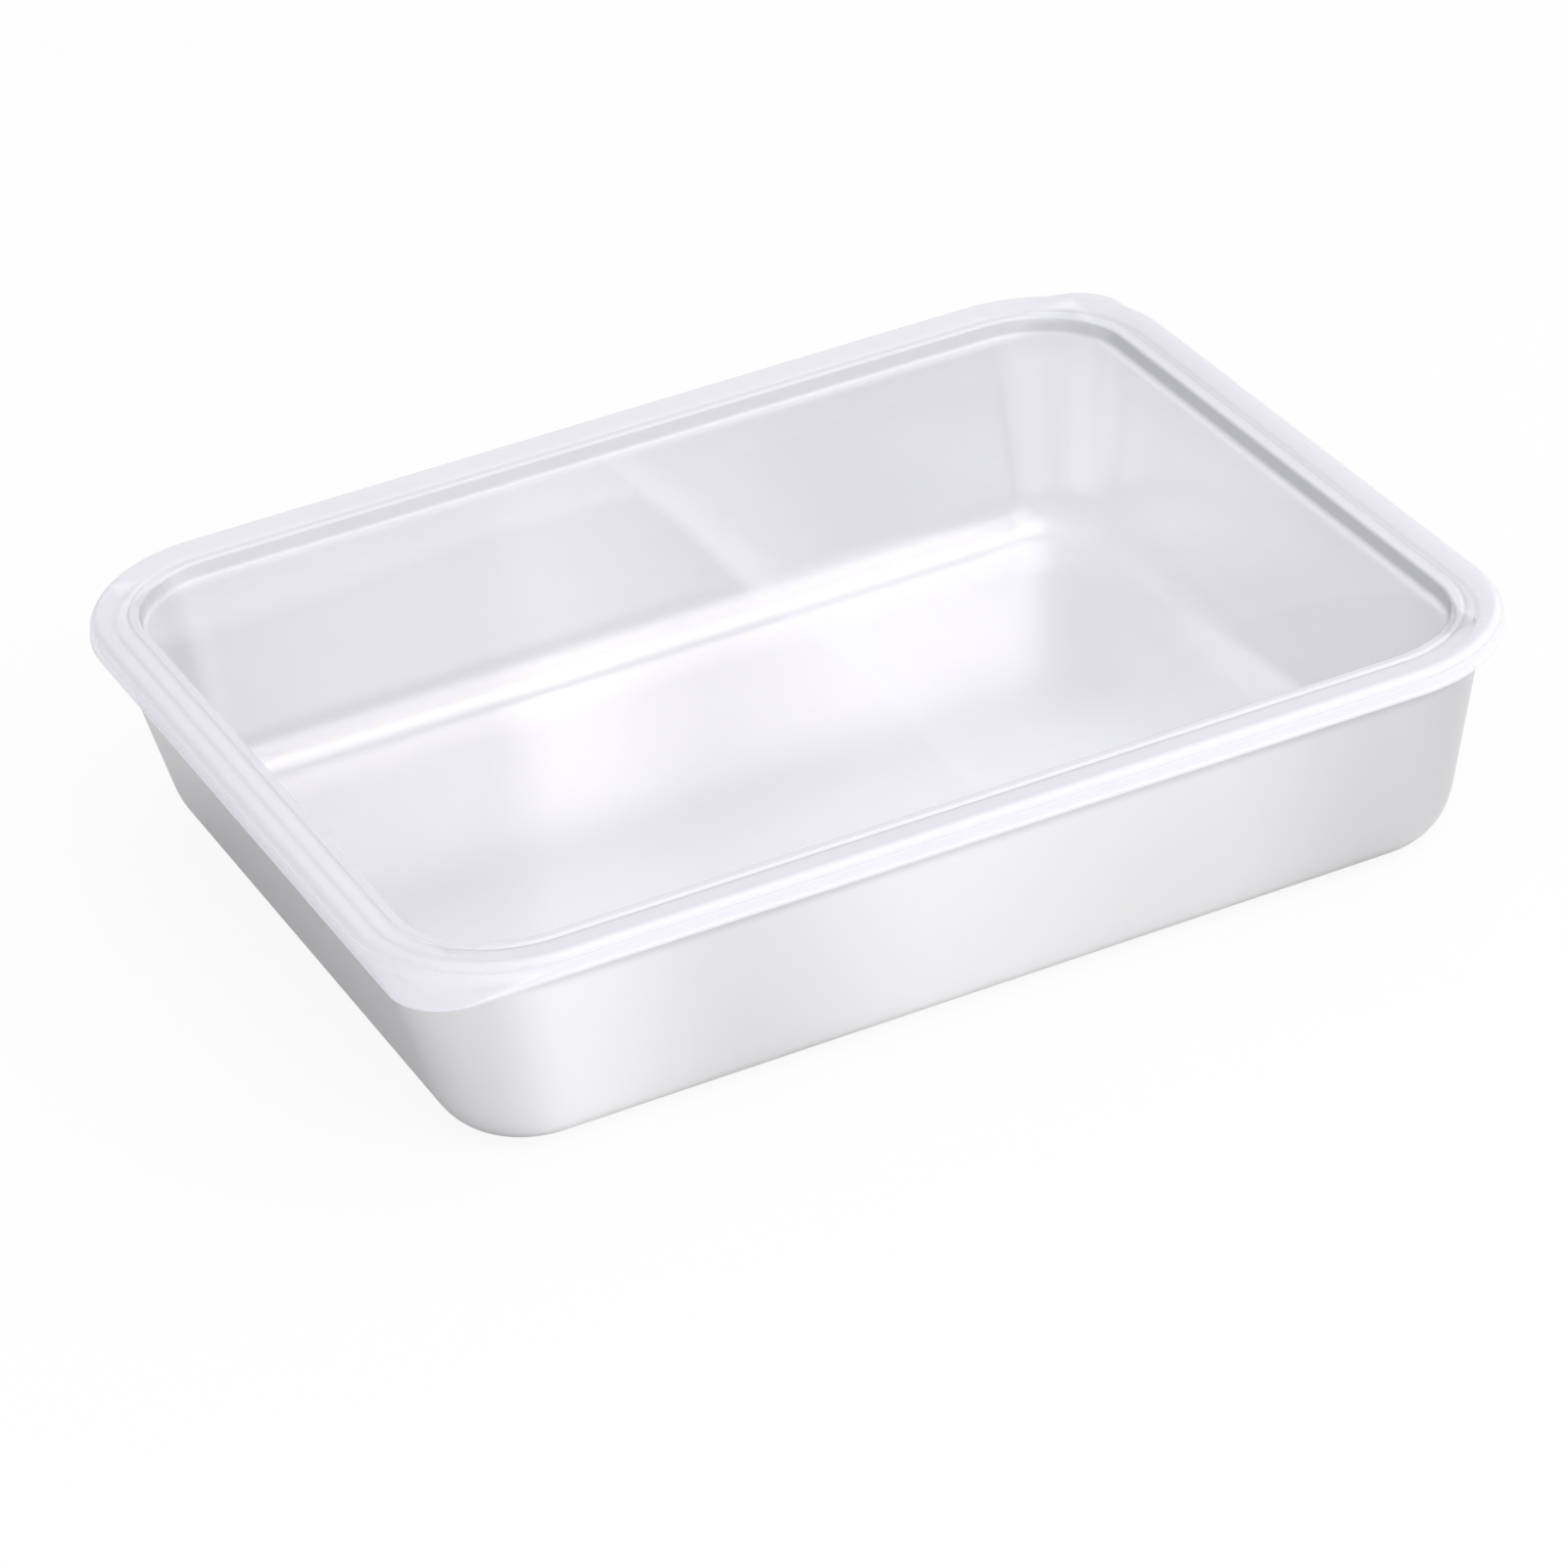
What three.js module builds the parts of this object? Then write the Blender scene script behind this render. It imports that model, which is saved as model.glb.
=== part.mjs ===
// A stainless steel food tray with a press-fit plastic lid, in millimetres, +Z up, standing on z = 0.
// Both pieces are lofts of rounded rectangles. A profile point is a reach, measured outward from
// the outline of the tray's rolled rim, and a height above the table.
import * as THREE from 'three';

// Driving dimensions of the tray
const TRAY_LENGTH = 260.5;
const TRAY_WIDTH = 211.5;
const TRAY_HEIGHT = 53.2;
const RIM_CORNER = 32.75;
const FOOT_CORNER = 22;
const SHEET = 0.6;
const ROLL_DIAMETER = 2.6;
const WALL_DRAFT = 12.5;
const FOOT_RADIUS = 18;

// Driving dimensions of the lid
const LID_WALL = 1.2;
const LID_HEIGHT = 5.1;
const RIM_WIDTH = 11.5;
const RECESS_DEPTH = 4.2;
const CROWN_RISE = 0.6;
const DROP_DRAW = 0.3;
const EDGE_RADIUS = 0.8;
const CURVE_RADIUS = 1;
const SHOULDER_RADIUS = 1.6;
const TIER_LAND = 0.1;
const TIER_STEP = 0.5;
const TIER_CHAMFER = 0.25;
const GROOVE_WIDTH = 1.5;
const GROOVE_DEPTH = 0.5;
const RIDGE_WIDTH = 2.1;
const LIP_OUT = 0.35;
const LIP_HEIGHT = 0.7;
const LIP_CHAMFER = 0.25;
const TAB_CORNER = 13.5;
const TAB_FLARE = 22;
const SNAP_BEAD = 0.4;
const BEAD_HEIGHT = 0.9;
const BEAD_HALF = 0.45;
const BEAD_TIP = 0.15;
const SEAL_WALL = 1.2;
const SEAL_DEPTH = 3;
const SEAL_TAPER = 0.4;

// Clearances between the two pieces
const SEAT_GAP = 0.3;
const SNAP_CLEARANCE = 0.3;
const SEAL_CLEARANCE = 0.5;

// Facets in each rounded corner of a ring
const CORNER_STEPS = 10;

// A profile point. The ring's corner radius follows the rim's, plus any gain that the piece asks for.
// A tab radius squares off the two corners where the lid is lifted, front left and back right.
function at(reach, height, gain = 0, tab = null) {
  const corner = Math.max(RIM_CORNER + reach + gain, 1);
  return { reach, height, corner, tab: tab ?? corner };
}

// Profile points along an arc, from one angle to another in degrees, 0 pointing outward and 90 up.
function arc(reach, height, radius, from, to, steps, gain = 0) {
  const points = [];
  for (let i = 0; i <= steps; i += 1) {
    const angle = THREE.MathUtils.degToRad(from + (to - from) * i / steps);
    points.push(at(reach + radius * Math.cos(angle), height + radius * Math.sin(angle), gain));
  }
  return points;
}

// The rounded rectangle at one profile point, anticlockwise seen from above.
function ring(point) {
  const sides = [[1, 1], [-1, 1], [-1, -1], [1, -1]];
  const vertices = [];
  sides.forEach(([sideX, sideY], quarter) => {
    const radius = quarter % 2 === 0 ? point.tab : point.corner;
    const x = sideX * (TRAY_LENGTH / 2 + point.reach - radius);
    const y = sideY * (TRAY_WIDTH / 2 + point.reach - radius);
    for (let i = 0; i <= CORNER_STEPS; i += 1) {
      const angle = (quarter + i / CORNER_STEPS) * Math.PI / 2;
      vertices.push([x + radius * Math.cos(angle), y + radius * Math.sin(angle), point.height]);
    }
  });
  return vertices;
}

// One closed body through all the rings of a profile, with a flat face across the first and the last.
// The profile runs from the underside, round the outside, to the upper side.
function loft(name, profile, material) {
  const rings = profile.map(ring);
  const count = rings[0].length;
  const lower = [0, 0, profile[0].height];
  const upper = [0, 0, profile[profile.length - 1].height];
  const vertices = [...rings.flat(), lower, upper];
  const lowerIndex = vertices.length - 2;
  const upperIndex = vertices.length - 1;
  const last = (rings.length - 1) * count;
  const faces = [];
  for (let j = 0; j < count; j += 1) {
    const next = (j + 1) % count;
    faces.push(lowerIndex, next, j);
    for (let i = 0; i < rings.length - 1; i += 1) {
      const row = i * count;
      const above = row + count;
      faces.push(row + j, row + next, above + next);
      faces.push(row + j, above + next, above + j);
    }
    faces.push(upperIndex, last + j, last + next);
  }
  const geometry = new THREE.BufferGeometry();
  geometry.setAttribute('position', new THREE.Float32BufferAttribute(vertices.flat(), 3));
  geometry.setIndex(faces);
  geometry.computeVertexNormals();
  const mesh = new THREE.Mesh(geometry, material);
  mesh.name = name;
  return mesh;
}

// The deep-drawn tray: flat base, large foot radius, drafted wall and a rim rolled outward.
function makeTray() {
  const draft = THREE.MathUtils.degToRad(WALL_DRAFT);
  const rollRadius = ROLL_DIAMETER / 2;
  const rollHeight = TRAY_HEIGHT - rollRadius;
  // The outside of the wall runs into the roll where the sheet's thickness meets the circle.
  const wallAcross = rollRadius - SHEET;
  const joinAngle = 180 + THREE.MathUtils.radToDeg(Math.acos(wallAcross / rollRadius));
  const wallReach = -ROLL_DIAMETER + SHEET;
  const wallTop = rollHeight - Math.sqrt(rollRadius ** 2 - wallAcross ** 2);
  // The foot's arc touches the base and the drafted wall, whose corners tighten towards the foot.
  const tangentHeight = FOOT_RADIUS * (1 - Math.sin(draft));
  const run = Math.tan(draft) * (wallTop - tangentHeight);
  const footReach = wallReach - run - FOOT_RADIUS * Math.cos(draft);
  const gain = FOOT_CORNER - (RIM_CORNER + wallReach - run);
  const profile = [
    ...arc(footReach, FOOT_RADIUS, FOOT_RADIUS, -90, -WALL_DRAFT, 10, gain),
    ...arc(-rollRadius, rollHeight, rollRadius, joinAngle, 540, 14),
    at(wallReach - SHEET / Math.cos(draft), wallTop),
    ...arc(footReach, FOOT_RADIUS, FOOT_RADIUS - SHEET, -WALL_DRAFT, -90, 10, gain),
  ];
  const steel = new THREE.MeshStandardMaterial({ color: 0xc9cacb, roughness: 0.35, metalness: 1 });
  return loft('tray', profile, steel);
}

// The one-piece lid: a channel that straddles the rolled rim, and a sunken flat panel.
function makeLid() {
  const ceiling = TRAY_HEIGHT + SEAT_GAP;
  const ridge = ceiling + LID_WALL;
  const top = ridge + CROWN_RISE;
  const foot = top - LID_HEIGHT;
  const panel = ridge - RECESS_DEPTH;
  const skirtInside = SNAP_CLEARANCE + SNAP_BEAD;
  const skirtFace = skirtInside + LID_WALL;
  const lipFace = skirtFace + LIP_OUT;
  const shoulderFace = skirtFace - TIER_STEP;
  const shoulder = shoulderFace - SHOULDER_RADIUS;
  const shoulderHeight = top - SHOULDER_RADIUS;
  const edge = lipFace - RIM_WIDTH;
  const dropFoot = edge - DROP_DRAW;
  const sealOutside = -ROLL_DIAMETER - SEAL_CLEARANCE;
  const sealTip = ceiling - SEAL_DEPTH;
  const bead = foot + BEAD_HEIGHT;
  const tierTop = shoulderHeight - TIER_LAND;
  const groove = edge + RIDGE_WIDTH + GROOVE_WIDTH;
  const profile = [
    // Underside of the panel, drop wall and the seal lip inside the tray's rim
    ...arc(dropFoot - CURVE_RADIUS, panel + CURVE_RADIUS, CURVE_RADIUS + LID_WALL, -90, 0, 5),
    at(edge + LID_WALL, ceiling),
    at(sealOutside - SEAL_WALL, ceiling),
    at(sealOutside - SEAL_WALL + SEAL_TAPER / 2, sealTip),
    at(sealOutside - SEAL_TAPER, sealTip),
    at(sealOutside, ceiling),
    // Inside of the shoulder and skirt, with the snap bead below the roll
    ...arc(shoulder, shoulderHeight, SHOULDER_RADIUS - LID_WALL, 90, 0, 4),
    at(skirtInside, bead + BEAD_HALF),
    at(SNAP_CLEARANCE, bead + BEAD_TIP),
    at(SNAP_CLEARANCE, bead - BEAD_TIP),
    at(skirtInside, bead - BEAD_HALF),
    at(skirtInside + LIP_CHAMFER, foot),
    // Outside: the turned-out lip with its two corner tabs, the lower tier, the step and the shoulder
    at(lipFace - LIP_CHAMFER, foot, 0, TAB_CORNER - LIP_CHAMFER),
    at(lipFace, foot + LIP_CHAMFER, 0, TAB_CORNER),
    at(lipFace, foot + LIP_HEIGHT, 0, TAB_CORNER),
    at(skirtFace, foot + LIP_HEIGHT + LIP_OUT, 0, TAB_FLARE),
    at(skirtFace, tierTop - TIER_CHAMFER),
    at(shoulderFace, tierTop),
    ...arc(shoulder, shoulderHeight, SHOULDER_RADIUS, 0, 90, 7),
    // Band falling from the crown to the groove, inner ridge and the drop to the panel
    at(groove, ridge),
    at(groove - GROOVE_WIDTH / 2, ridge - GROOVE_DEPTH),
    at(groove - GROOVE_WIDTH, ridge),
    ...arc(edge + EDGE_RADIUS, ridge - EDGE_RADIUS, EDGE_RADIUS, 90, 180, 4),
    ...arc(dropFoot - CURVE_RADIUS, panel + CURVE_RADIUS, CURVE_RADIUS, 0, -90, 4),
  ];
  const plastic = new THREE.MeshStandardMaterial({
    color: 0xe9e7f0,
    roughness: 0.3,
    metalness: 0,
    transparent: true,
    opacity: 0.5,
  });
  return loft('lid', profile, plastic);
}

const container = new THREE.Group();
container.add(makeTray());
container.add(makeLid());

export default container;
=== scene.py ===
import math

import bmesh
import bpy
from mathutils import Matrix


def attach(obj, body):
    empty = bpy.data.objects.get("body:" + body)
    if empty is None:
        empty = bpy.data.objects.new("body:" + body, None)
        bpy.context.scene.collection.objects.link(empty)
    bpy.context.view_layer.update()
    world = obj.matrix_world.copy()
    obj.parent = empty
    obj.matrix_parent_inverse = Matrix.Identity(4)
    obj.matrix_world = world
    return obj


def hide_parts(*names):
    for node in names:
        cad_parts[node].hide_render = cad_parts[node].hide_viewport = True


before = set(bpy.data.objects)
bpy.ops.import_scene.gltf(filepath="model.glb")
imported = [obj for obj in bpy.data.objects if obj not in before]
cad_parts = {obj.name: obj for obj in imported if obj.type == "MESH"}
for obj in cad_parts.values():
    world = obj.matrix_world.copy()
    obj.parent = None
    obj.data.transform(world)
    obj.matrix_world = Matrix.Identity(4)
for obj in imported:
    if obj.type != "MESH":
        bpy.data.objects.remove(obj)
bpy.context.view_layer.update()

# Tray
# A low rectangular food tray, deep drawn from one stainless steel sheet with a satin finish.
# The edge of the sheet is curled outward and under, so the rim is round and stiff.
tray_length = 0.2605
tray_width = 0.2115
tray_height = 0.0532
rim_corner = 0.03275
sheet = 0.0006
curl_radius = 0.0013
curl_under = -150
wall_draft = math.radians(12.5)
foot_radius = 0.0174
corner_steps = 24
smooth_below = math.radians(38)


def start_piece(name):
    bpy.ops.object.select_all(action="DESELECT")
    bpy.ops.mesh.primitive_plane_add(size=1, location=(0, 0, 0))
    piece = bpy.context.object
    piece.name = name
    bpy.ops.object.mode_set(mode="EDIT")
    bpy.ops.mesh.delete(type="VERT")
    bpy.ops.mesh.select_mode(type="FACE")
    return piece


def arc(reach, height, radius, start, end, steps):
    turns = [math.radians(start + (end - start) * i / steps) for i in range(steps + 1)]
    return [(reach + radius * math.cos(t), height + radius * math.sin(t)) for t in turns]


def add_rounded_plate(reach, height):
    bpy.ops.mesh.select_all(action="DESELECT")
    bpy.ops.mesh.primitive_plane_add(size=1, location=(0, 0, height))
    bpy.ops.transform.resize(value=(tray_length + 2 * reach, tray_width + 2 * reach, 1))
    bpy.ops.mesh.bevel(
        offset=rim_corner + reach,
        segments=corner_steps,
        affect="VERTICES",
        clamp_overlap=False,
    )


def press_along(profile):
    add_rounded_plate(*profile[0])
    for (reach, height), (next_reach, next_height) in zip(profile, profile[1:]):
        bpy.ops.mesh.inset(thickness=max(reach - next_reach, 0), depth=next_height - height)


def smooth_faces(piece):
    bpy.ops.object.shade_smooth_by_angle(angle=smooth_below)
    weighting = piece.modifiers.new("flat_faces", "WEIGHTED_NORMAL")
    weighting.keep_sharp = True
    bpy.ops.object.modifier_apply(modifier=weighting.name)


tray = start_piece("steel_tray")
curl_height = tray_height - curl_radius
curl_end = 180 - math.degrees(wall_draft)
curl_over = arc(-curl_radius, curl_height, curl_radius, 0, curl_end, steps=12)
wall_reach, wall_height = curl_over[-1]
wall_run = (wall_height - sheet) * math.tan(wall_draft)
press_along(curl_over + [(wall_reach - wall_run, sheet)])
foot_offset = foot_radius * math.tan((math.pi / 2 - wall_draft) / 2)
bpy.ops.mesh.bevel(
    offset=foot_offset,
    segments=18,
    profile=0.6,
    affect="EDGES",
    clamp_overlap=False,
)

press_along(arc(-curl_radius, curl_height, curl_radius, 0, curl_under, steps=10))
bpy.ops.mesh.delete(type="FACE")
bpy.ops.mesh.select_all(action="SELECT")
bpy.ops.mesh.remove_doubles(threshold=0.00001)
bpy.ops.mesh.normals_make_consistent(inside=False)
bpy.ops.object.mode_set(mode="OBJECT")

thickness = tray.modifiers.new("sheet_thickness", "SOLIDIFY")
thickness.thickness = sheet
thickness.offset = -1
thickness.use_even_offset = True
bpy.ops.object.modifier_apply(modifier=thickness.name)
smooth_faces(tray)


def start_finish(name):
    finish = bpy.data.materials.new(name)
    finish.use_nodes = True
    return finish, finish.node_tree.nodes, finish.node_tree.links


def add_range(value, start, end, low=0, high=1, interpolation="LINEAR"):
    band = nodes.new("ShaderNodeMapRange")
    band.interpolation_type = interpolation
    band.inputs["From Min"].default_value = start
    band.inputs["From Max"].default_value = end
    band.inputs["To Min"].default_value = low
    band.inputs["To Max"].default_value = high
    links.new(value, band.inputs["Value"])
    return band


satin_steel, nodes, links = start_finish("satin_steel")
steel = nodes["Principled BSDF"]
steel.inputs["Metallic"].default_value = 1
place = nodes.new("ShaderNodeTexCoord")

# Painted reflection: soft upright bands of lighter and darker tone that lean a little across the tray,
# with painted shade darker towards its two ends
slant = nodes.new("ShaderNodeVectorMath")
slant.operation = "DOT_PRODUCT"
slant.inputs[1].default_value = (1, -0.4, 0)
links.new(place.outputs["Object"], slant.inputs[0])
painted_reflection_place = add_range(slant.outputs["Value"], -0.16, 0.16)
painted_reflection_tones = (
    (0, 0.7),
    (0.26, 0.76),
    (0.32, 0.95),
    (0.44, 0.81),
    (0.58, 0.93),
    (0.78, 0.85),
    (0.92, 0.7),
    (1, 0.58),
)
painted_reflection_blue = 0.008
painted_reflection_bands = nodes.new("ShaderNodeValToRGB")
painted_reflection_bands.color_ramp.interpolation = "EASE"
for position, _ in painted_reflection_tones[1:-1]:
    painted_reflection_bands.color_ramp.elements.new(position)
for stop, (_, tone) in zip(painted_reflection_bands.color_ramp.elements, painted_reflection_tones):
    stop.color = (tone, tone, tone + painted_reflection_blue, 1)
links.new(painted_reflection_place.outputs["Result"], painted_reflection_bands.inputs["Fac"])

# Painted shade: the wall is painted darker just under the lid's skirt, where its shadow falls
upward = nodes.new("ShaderNodeSeparateXYZ")
links.new(place.outputs["Object"], upward.inputs["Vector"])
painted_lip_shade = add_range(upward.outputs["Z"], 0.0442, 0.0478, high=0.45, interpolation="SMOOTHSTEP")
lip_shade_tone = nodes.new("ShaderNodeMix")
lip_shade_tone.data_type = "RGBA"
lip_shade_tone.inputs["B"].default_value = (0.36, 0.365, 0.38, 1)
links.new(painted_lip_shade.outputs["Result"], lip_shade_tone.inputs["Factor"])
links.new(painted_reflection_bands.outputs["Color"], lip_shade_tone.inputs["A"])
links.new(lip_shade_tone.outputs["Result"], steel.inputs["Base Color"])

# The satin grain runs along the tray's length
along_length = nodes.new("ShaderNodeMapping")
along_length.inputs["Scale"].default_value = (8, 1600, 1600)
links.new(place.outputs["Object"], along_length.inputs["Vector"])
length_grain = nodes.new("ShaderNodeTexNoise")
length_grain.inputs["Scale"].default_value = 1
length_grain.inputs["Detail"].default_value = 2
links.new(along_length.outputs["Vector"], length_grain.inputs["Vector"])
steel_rough = add_range(length_grain.outputs["Fac"], 0.25, 0.75, low=0.18, high=0.24)
links.new(steel_rough.outputs["Result"], steel.inputs["Roughness"])
steel_bump = nodes.new("ShaderNodeBump")
steel_bump.inputs["Strength"].default_value = 0.015
steel_bump.inputs["Distance"].default_value = 0.0002
links.new(length_grain.outputs["Fac"], steel_bump.inputs["Height"])
links.new(steel_bump.outputs["Normal"], steel.inputs["Normal"])
tray.data.materials.append(satin_steel)
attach(tray, "tray_body")
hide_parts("tray")

# Lid
# One piece moulded in translucent plastic, pressed down over the tray's rim by hand.
# A channel straddles the curl, its skirt turns out into a lip with two corner tabs, and the panel is sunk.
lid_wall = 0.0012
lid_top = 0.0553
lid_ridge = 0.0547
lid_foot = 0.0502
lid_panel = 0.0505
lip_face = 0.00225
lip_height = 0.0007
lip_chamfer = 0.0002
skirt_face = 0.0019
shoulder_face = 0.0014
shoulder_radius = 0.0016
tier_top = 0.0536
tier_chamfer = 0.00025
tier_round = 0.0001
tier_sink = 0.00008
inner_edge = -0.00925
drop_foot = -0.00955
edge_radius = 0.0008
curve_radius = 0.001
ridge_width = 0.0021
groove_width = 0.0015
groove_depth = 0.0005
band_curve = 1.6
flare_curve = 2.3
tab_corner = 0.0135
mouth_chamfer = 0.00025
bead_height = 0.0009
bead_half = 0.00045
bead_reach = 0.0004
seal_outside = -0.0031
seal_wall = 0.0012
seal_depth = 0.003
seal_taper = 0.0004
near = 1e-6

lid = start_piece("plastic_lid")
shoulder = shoulder_face - shoulder_radius
shoulder_height = lid_top - shoulder_radius
upper_side = [(shoulder_face, tier_top)]
upper_side += arc(shoulder, shoulder_height, shoulder_radius, 0, 90, steps=10)
groove = inner_edge + ridge_width + groove_width
for share in (0.2, 0.4, 0.6, 0.8):
    fall = (lid_top - lid_ridge) * share**band_curve
    upper_side.append((shoulder + (groove - shoulder) * share, lid_top - fall))
for share, sink in ((0, 0), (4 / 15, 0.76), (1 / 2, 1), (11 / 15, 0.76), (1, 0)):
    upper_side.append((groove - groove_width * share, lid_ridge - groove_depth * sink))
upper_side += arc(inner_edge + edge_radius, lid_ridge - edge_radius, edge_radius, 90, 180, steps=6)
panel_curve = (drop_foot - curve_radius, lid_panel + curve_radius)
upper_side += arc(*panel_curve, curve_radius, 0, -90, steps=6)
press_along(upper_side)


def select_corners(reach, tabs):
    half_length = tray_length / 2 + reach
    half_width = tray_width / 2 + reach
    mesh = bmesh.from_edit_mesh(lid.data)
    for vertex in mesh.verts:
        at_end = abs(abs(vertex.co.x) - half_length) < near
        at_corner = at_end and abs(abs(vertex.co.y) - half_width) < near
        vertex.select_set(at_corner and (vertex.co.x * vertex.co.y > 0) == tabs)
    mesh.select_flush_mode()
    bmesh.update_edit_mesh(lid.data)


def bridge_open_edges(extend):
    bpy.ops.mesh.select_mode(type="EDGE")
    bpy.ops.mesh.select_non_manifold(
        extend=extend,
        use_wire=False,
        use_boundary=True,
        use_multi_face=False,
        use_non_contiguous=False,
        use_verts=False,
    )
    bpy.ops.mesh.bridge_edge_loops()


def draw_down_to(reach, height, tab):
    bpy.ops.mesh.select_mode(type="VERT")
    bpy.ops.mesh.select_all(action="DESELECT")
    bpy.ops.mesh.primitive_plane_add(size=1, location=(0, 0, height))
    bpy.ops.transform.resize(value=(tray_length + 2 * reach, tray_width + 2 * reach, 1))
    for tabs, radius in ((True, tab), (False, rim_corner + reach)):
        select_corners(reach, tabs)
        bpy.ops.mesh.bevel(offset=radius, segments=corner_steps, affect="VERTICES", clamp_overlap=False)
    mesh = bmesh.from_edit_mesh(lid.data)
    for face in mesh.faces:
        face.select_set(all(abs(v.co.z - height) < near for v in face.verts))
    bmesh.update_edit_mesh(lid.data)
    bpy.ops.mesh.delete(type="ONLY_FACE")
    mesh = bmesh.from_edit_mesh(lid.data)
    for edge in mesh.edges:
        edge.select_set(edge.is_wire)
    bmesh.update_edit_mesh(lid.data)
    bridge_open_edges(True)


lip_top = lid_foot + lip_height
lip_share = 0.24
flare_height = tier_top - tier_chamfer - lip_top
skirt_corner = rim_corner + skirt_face
draw_down_to(skirt_face - tier_round, tier_top - tier_sink, skirt_corner - tier_round)
for share in (1, 0.75, 0.55, 0.38, lip_share, 0.12):
    spread = (skirt_corner - tab_corner) * (1 - (1 - share) ** flare_curve)
    reach = skirt_face + (lip_face - skirt_face) * max(0, 1 - share / lip_share) ** 2
    draw_down_to(reach, lip_top + flare_height * share, tab_corner + spread)
draw_down_to(lip_face, lip_top, tab_corner)
draw_down_to(lip_face, lid_foot + lip_chamfer, tab_corner)
draw_down_to(lip_face - lip_chamfer, lid_foot, tab_corner - lip_chamfer)

bpy.ops.mesh.select_mode(type="FACE")
skirt_inside = skirt_face - lid_wall
bead = lid_foot + bead_height
ceiling = lid_ridge - lid_wall
seal_tip = ceiling - seal_depth
under_side = [(skirt_inside + mouth_chamfer, lid_foot)]
under_side += [(skirt_inside, height) for height in (bead - bead_half, bead, bead + bead_half)]
under_side += arc(shoulder, shoulder_height, shoulder_radius - lid_wall, 0, 90, steps=6)
under_side += [(seal_outside, ceiling), (seal_outside - seal_taper, seal_tip)]
under_side += [(seal_outside - seal_wall + seal_taper / 2, seal_tip), (seal_outside - seal_wall, ceiling)]
under_side += [(inner_edge + lid_wall, ceiling)]
under_side += arc(*panel_curve, curve_radius + lid_wall, 0, -90, steps=8)
press_along(under_side)

bridge_open_edges(False)
bpy.ops.mesh.select_all(action="SELECT")
bpy.ops.mesh.remove_doubles(threshold=0.000005)
bpy.ops.mesh.normals_make_consistent(inside=False)
bpy.ops.mesh.select_mode(type="VERT")
mesh = bmesh.from_edit_mesh(lid.data)
for vertex in mesh.verts:
    inside = abs(vertex.co.x) < tray_length / 2 + skirt_inside + near
    inside = inside and abs(vertex.co.y) < tray_width / 2 + skirt_inside + near
    vertex.select_set(inside and abs(vertex.co.z - bead) < near)
mesh.select_flush_mode()
bmesh.update_edit_mesh(lid.data)
bpy.ops.transform.shrink_fatten(value=bead_reach)
bpy.ops.object.mode_set(mode="OBJECT")
smooth_faces(lid)


def combine(operation, first, second):
    node = nodes.new("ShaderNodeMath")
    node.operation = operation
    links.new(first, node.inputs[0])
    links.new(second, node.inputs[1])
    return node.outputs["Value"]


frosted_plastic, nodes, links = start_finish("frosted_plastic")
plastic = nodes["Principled BSDF"]
plastic.inputs["IOR"].default_value = 1.5
place = nodes.new("ShaderNodeTexCoord")

# A faint cloudiness in the plastic's colour and gloss
cloud = nodes.new("ShaderNodeTexNoise")
cloud.inputs["Scale"].default_value = 35
cloud.inputs["Detail"].default_value = 4
links.new(place.outputs["Object"], cloud.inputs["Vector"])
plastic_tone = nodes.new("ShaderNodeMix")
plastic_tone.data_type = "RGBA"
plastic_tone.inputs["A"].default_value = (0.82, 0.82, 0.87, 1)
plastic_tone.inputs["B"].default_value = (0.86, 0.86, 0.905, 1)
links.new(cloud.outputs["Fac"], plastic_tone.inputs["Factor"])
plastic_rough = add_range(cloud.outputs["Fac"], 0.3, 0.7, low=0.18, high=0.25)
links.new(plastic_rough.outputs["Result"], plastic.inputs["Roughness"])

# The rim's folded channel is greyer than the flat panel
across = nodes.new("ShaderNodeVectorMath")
across.operation = "ABSOLUTE"
links.new(place.outputs["Object"], across.inputs[0])
beyond = nodes.new("ShaderNodeVectorMath")
beyond.operation = "SUBTRACT"
beyond.inputs[1].default_value = (tray_length / 2 + inner_edge, tray_width / 2 + inner_edge, 1)
links.new(across.outputs["Vector"], beyond.inputs[0])
sides = nodes.new("ShaderNodeSeparateXYZ")
links.new(beyond.outputs["Vector"], sides.inputs["Vector"])
outward = combine("MAXIMUM", sides.outputs["X"], sides.outputs["Y"])
rim_start = -0.0025
rim_share = add_range(outward, rim_start, 0)
rim_tone = nodes.new("ShaderNodeMix")
rim_tone.data_type = "RGBA"
rim_tone.blend_type = "MULTIPLY"
rim_tone.inputs["B"].default_value = (0.815, 0.81, 0.82, 1)
links.new(rim_share.outputs["Result"], rim_tone.inputs["Factor"])
links.new(plastic_tone.outputs["Result"], rim_tone.inputs["A"])
links.new(rim_tone.outputs["Result"], plastic.inputs["Base Color"])

# A painted sheen on the panel, a reflection painted as extra milkiness: a wavy streak with a fading right
# side, a back edge, and one clear front corner without it
wave = nodes.new("ShaderNodeTexNoise")
wave.inputs["Scale"].default_value = 14
wave.inputs["Detail"].default_value = 0
links.new(place.outputs["Object"], wave.inputs["Vector"])
warped = nodes.new("ShaderNodeVectorMath")
warped.operation = "MULTIPLY_ADD"
warped.inputs[1].default_value = (0.016, 0.016, 0)
links.new(wave.outputs["Color"], warped.inputs[0])
links.new(place.outputs["Object"], warped.inputs[2])
panel_place = nodes.new("ShaderNodeSeparateXYZ")
links.new(warped.outputs["Vector"], panel_place.inputs["Vector"])
right_place = add_range(panel_place.outputs["X"], -0.012, 0.038)
right_painted_sheen = nodes.new("ShaderNodeValToRGB")
right_painted_sheen.color_ramp.interpolation = "EASE"
right_painted_sheen.color_ramp.elements[0].position = 0.4
right_painted_sheen.color_ramp.elements[1].position = 0.5
tail = right_painted_sheen.color_ramp.elements.new(0.72)
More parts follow.
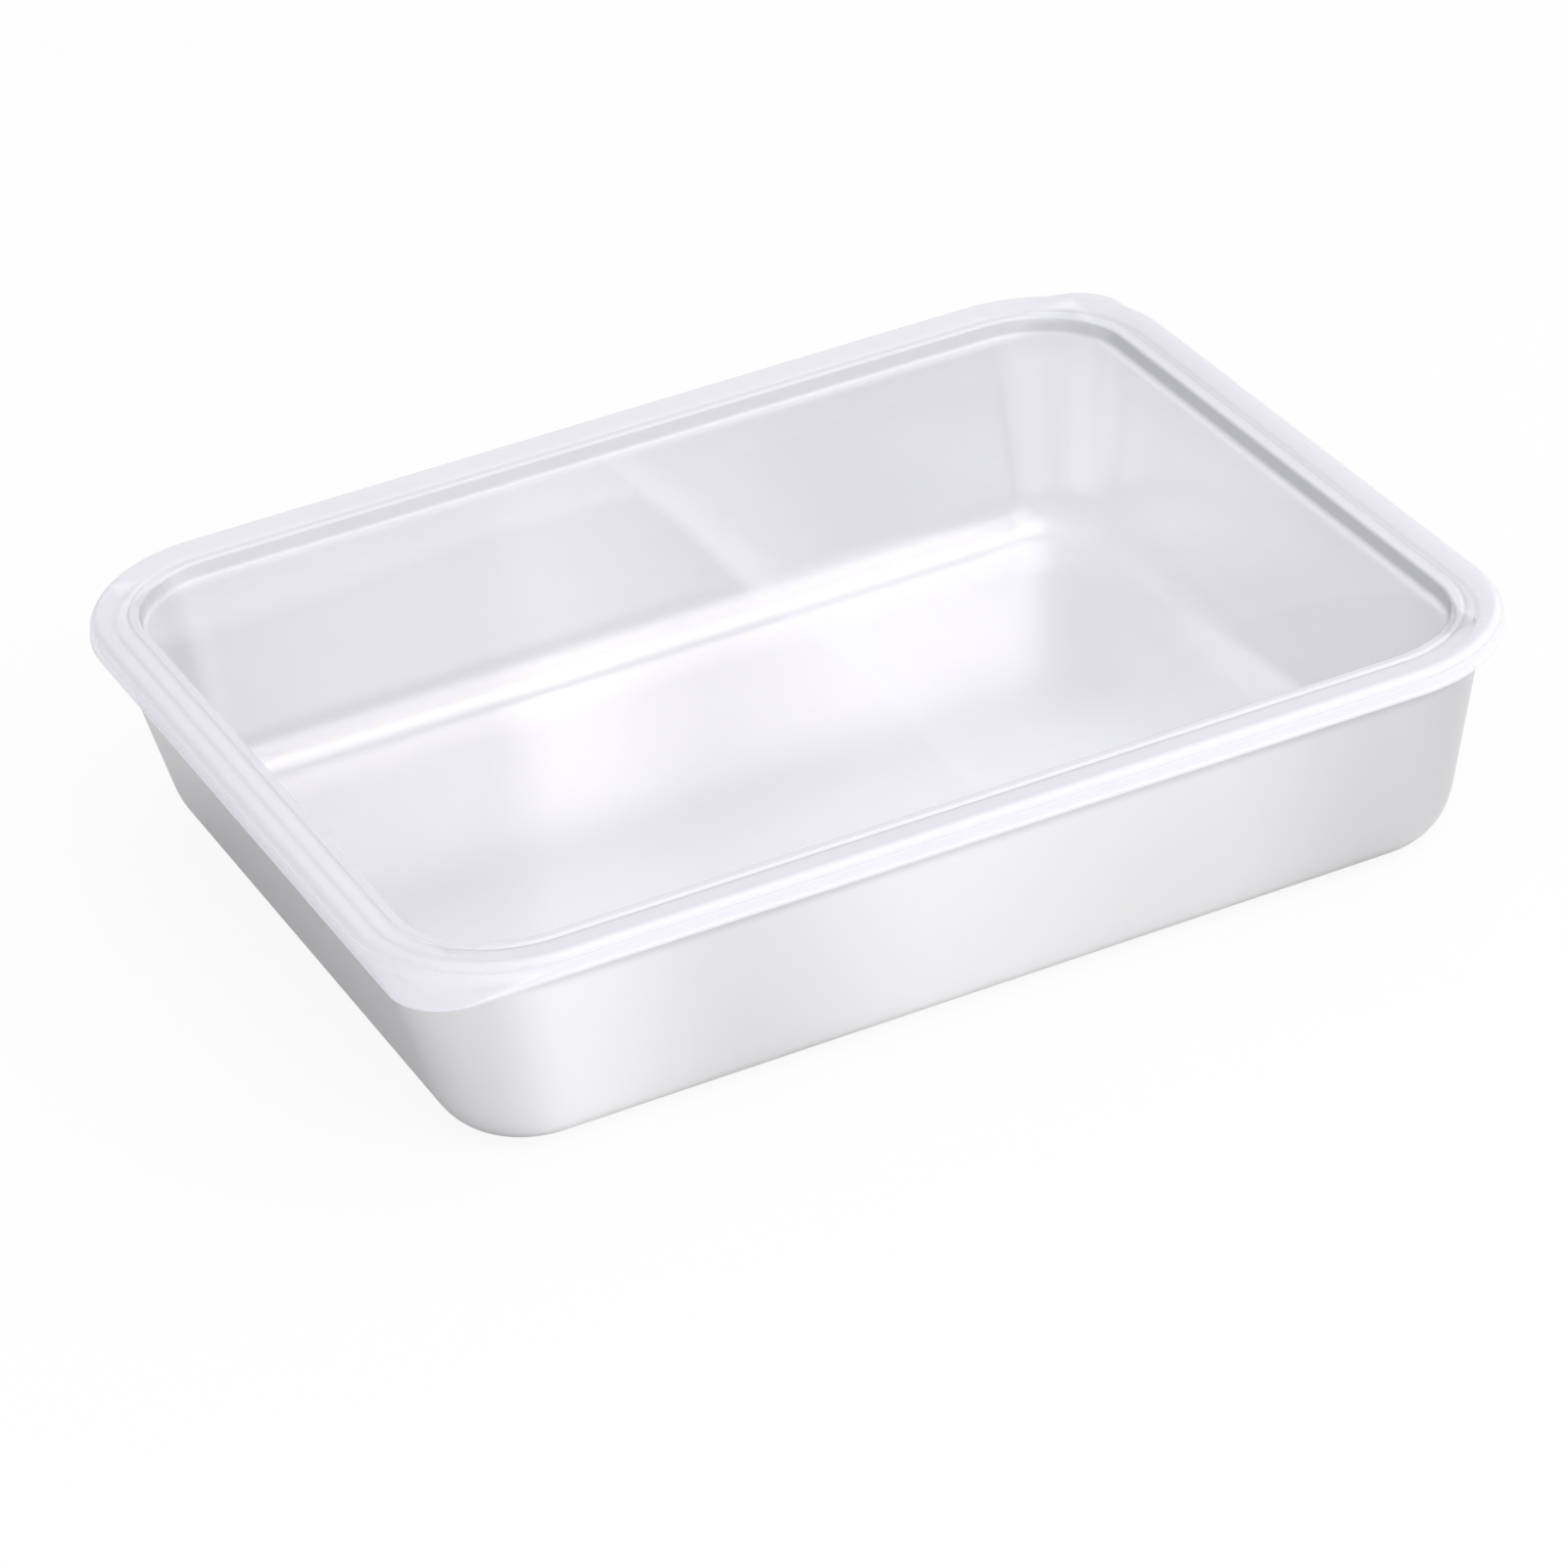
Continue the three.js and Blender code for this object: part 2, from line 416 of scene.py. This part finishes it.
tail.color = (0.5, 0.5, 0.5, 1)
links.new(right_place.outputs["Result"], right_painted_sheen.inputs["Fac"])
painted_streak_end = add_range(panel_place.outputs["Y"], -0.035, 0.01, low=0.25, interpolation="SMOOTHSTEP")
painted_streak = combine("MULTIPLY", right_painted_sheen.outputs["Color"], painted_streak_end.outputs["Result"])
back_painted_sheen = add_range(panel_place.outputs["Y"], 0.078, 0.088, high=0.55, interpolation="SMOOTHSTEP")
both_painted_sheens = combine("MAXIMUM", painted_streak, back_painted_sheen.outputs["Result"])
from_sheen_free = nodes.new("ShaderNodeVectorMath")
from_sheen_free.operation = "DISTANCE"
from_sheen_free.inputs[1].default_value = (0.095, -0.092, lid_panel)
links.new(warped.outputs["Vector"], from_sheen_free.inputs[0])
sheen_free_edge = add_range(from_sheen_free.outputs["Value"], 0.041, 0.047, interpolation="SMOOTHSTEP")
painted_sheen = combine("MULTIPLY", both_painted_sheens, sheen_free_edge.outputs["Result"])

# The veil lies on the near face only, is milkier on the rim, carries the painted sheen on the panel, and
# is faint to all but the camera
panel_veil_and_sheen = add_range(painted_sheen, 0, 1, low=0.36, high=0.52)
milky_and_sheen = add_range(outward, rim_start, 0, high=0.85)
links.new(panel_veil_and_sheen.outputs["Result"], milky_and_sheen.inputs["To Min"])
ray = nodes.new("ShaderNodeLightPath")
scatter = add_range(ray.outputs["Is Camera Ray"], 0, 1, low=0.05)
veil_and_sheen = combine("MULTIPLY", milky_and_sheen.outputs["Result"], scatter.outputs["Result"])
side = nodes.new("ShaderNodeNewGeometry")
near_face = nodes.new("ShaderNodeMath")
near_face.operation = "SUBTRACT"
near_face.inputs[0].default_value = 1
links.new(side.outputs["Backfacing"], near_face.inputs[1])
one_face = combine("MULTIPLY", veil_and_sheen, near_face.outputs["Value"])
links.new(one_face, plastic.inputs["Alpha"])
lid.data.materials.append(frosted_plastic)
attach(lid, "lid_body")
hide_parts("lid")

# Studio
# A pale table top in a white studio, with a large diffuser in front and a low one on the left.
# The camera sees the backdrop white, the steel mirrors a soft gradient of it, and a plain fill
# lights the pieces.
bpy.ops.object.select_all(action="DESELECT")
bpy.ops.mesh.primitive_plane_add(size=8, location=(0, 0, 0))
table = bpy.context.object
table.name = "table_top"
table_white, nodes, links = start_finish("table_white")
paper = nodes["Principled BSDF"]
paper.inputs["Base Color"].default_value = (0.84, 0.84, 0.84, 1)
paper.inputs["Roughness"].default_value = 0.9
ray = nodes.new("ShaderNodeLightPath")
seen = add_range(ray.outputs["Is Camera Ray"], 0, 1, high=0.9)
mirrored = combine("MAXIMUM", ray.outputs["Is Glossy Ray"], ray.outputs["Is Transmission Ray"])
reflected = add_range(mirrored, 0, 1, high=0.1)
whiter = combine("ADD", seen.outputs["Result"], reflected.outputs["Result"])
white = nodes.new("ShaderNodeEmission")
table_mix = nodes.new("ShaderNodeMixShader")
links.new(whiter, table_mix.inputs["Fac"])
links.new(paper.outputs["BSDF"], table_mix.inputs[1])
links.new(white.outputs["Emission"], table_mix.inputs[2])
links.new(table_mix.outputs["Shader"], nodes["Material Output"].inputs["Surface"])
table.data.materials.append(table_white)

world = bpy.data.worlds.new("studio")
bpy.context.scene.world = world
world.use_nodes = True
nodes = world.node_tree.nodes
links = world.node_tree.links
place = nodes.new("ShaderNodeTexCoord")


def add_gradient(direction, start, end, dim, bright):
    facing = nodes.new("ShaderNodeVectorMath")
    facing.operation = "DOT_PRODUCT"
    facing.inputs[1].default_value = direction
    links.new(place.outputs["Generated"], facing.inputs[0])
    level = add_range(facing.outputs["Value"], start, end, dim, bright, interpolation="SMOOTHSTEP")
    return level.outputs["Result"]


fill = add_gradient((0.8, -0.6, 0), -0.6, 0.6, dim=0.64, bright=1.1)
soft_box = add_gradient((0.359, -0.428, 0.829), 0.75, 1, dim=0, bright=1.12)
backdrop = add_gradient((0.8, 0.25, 0.5), -0.6, 0.6, dim=0.3, bright=0.69)
backdrop = combine("ADD", backdrop, soft_box)
for corner in ((0.55, 0.79, 0.26), (-0.64, 0.71, 0.29)):
    backdrop = combine("ADD", backdrop, add_gradient(corner, 0.75, 1, dim=0, bright=0.22))
ray = nodes.new("ShaderNodeLightPath")
mirrored = combine("MAXIMUM", ray.outputs["Is Glossy Ray"], ray.outputs["Is Transmission Ray"])
daylight = nodes.new("ShaderNodeMix")
links.new(mirrored, daylight.inputs["Factor"])
links.new(fill, daylight.inputs["A"])
links.new(backdrop, daylight.inputs["B"])
brightness = combine("MAXIMUM", daylight.outputs["Result"], ray.outputs["Is Camera Ray"])
links.new(brightness, nodes["Background"].inputs["Strength"])
warmth = nodes.new("ShaderNodeMix")
warmth.data_type = "RGBA"
warmth.inputs["A"].default_value = (0.96, 0.965, 1, 1)
warmth.inputs["B"].default_value = (1, 0.955, 0.935, 1)
links.new(soft_box, warmth.inputs["Factor"])
links.new(warmth.outputs["Result"], nodes["Background"].inputs["Color"])


def add_diffuser(azimuth, elevation, distance, size, power):
    bpy.ops.object.light_add(type="AREA")
    lamp = bpy.context.object
    turn = math.radians(azimuth)
    rise = math.radians(elevation)
    lamp.location = (
        distance * math.sin(turn) * math.cos(rise),
        -distance * math.cos(turn) * math.cos(rise),
        distance * math.sin(rise),
    )
    lamp.rotation_euler = (math.pi / 2 - rise, 0, turn)
    lamp.data.shape = "RECTANGLE"
    lamp.data.size, lamp.data.size_y = size
    lamp.data.energy = power
    lamp.visible_glossy = False


add_diffuser(azimuth=25, elevation=44, distance=1.6, size=(1.9, 1.5), power=16)
add_diffuser(azimuth=275, elevation=6.5, distance=1.6, size=(1.8, 0.3), power=6)

# Camera
# It stands in front and to the left, above the lid, a little turned, as in the photograph.
bpy.ops.object.camera_add(
    location=(-0.496745, -1.215321, 0.758235),
    rotation=(math.radians(60.175), math.radians(5.625), math.radians(-25.2722)),
)
camera = bpy.context.object
camera.data.sensor_width = 36
camera.data.lens = 157.57
bpy.context.scene.camera = camera
bpy.context.scene.view_settings.view_transform = "Standard"
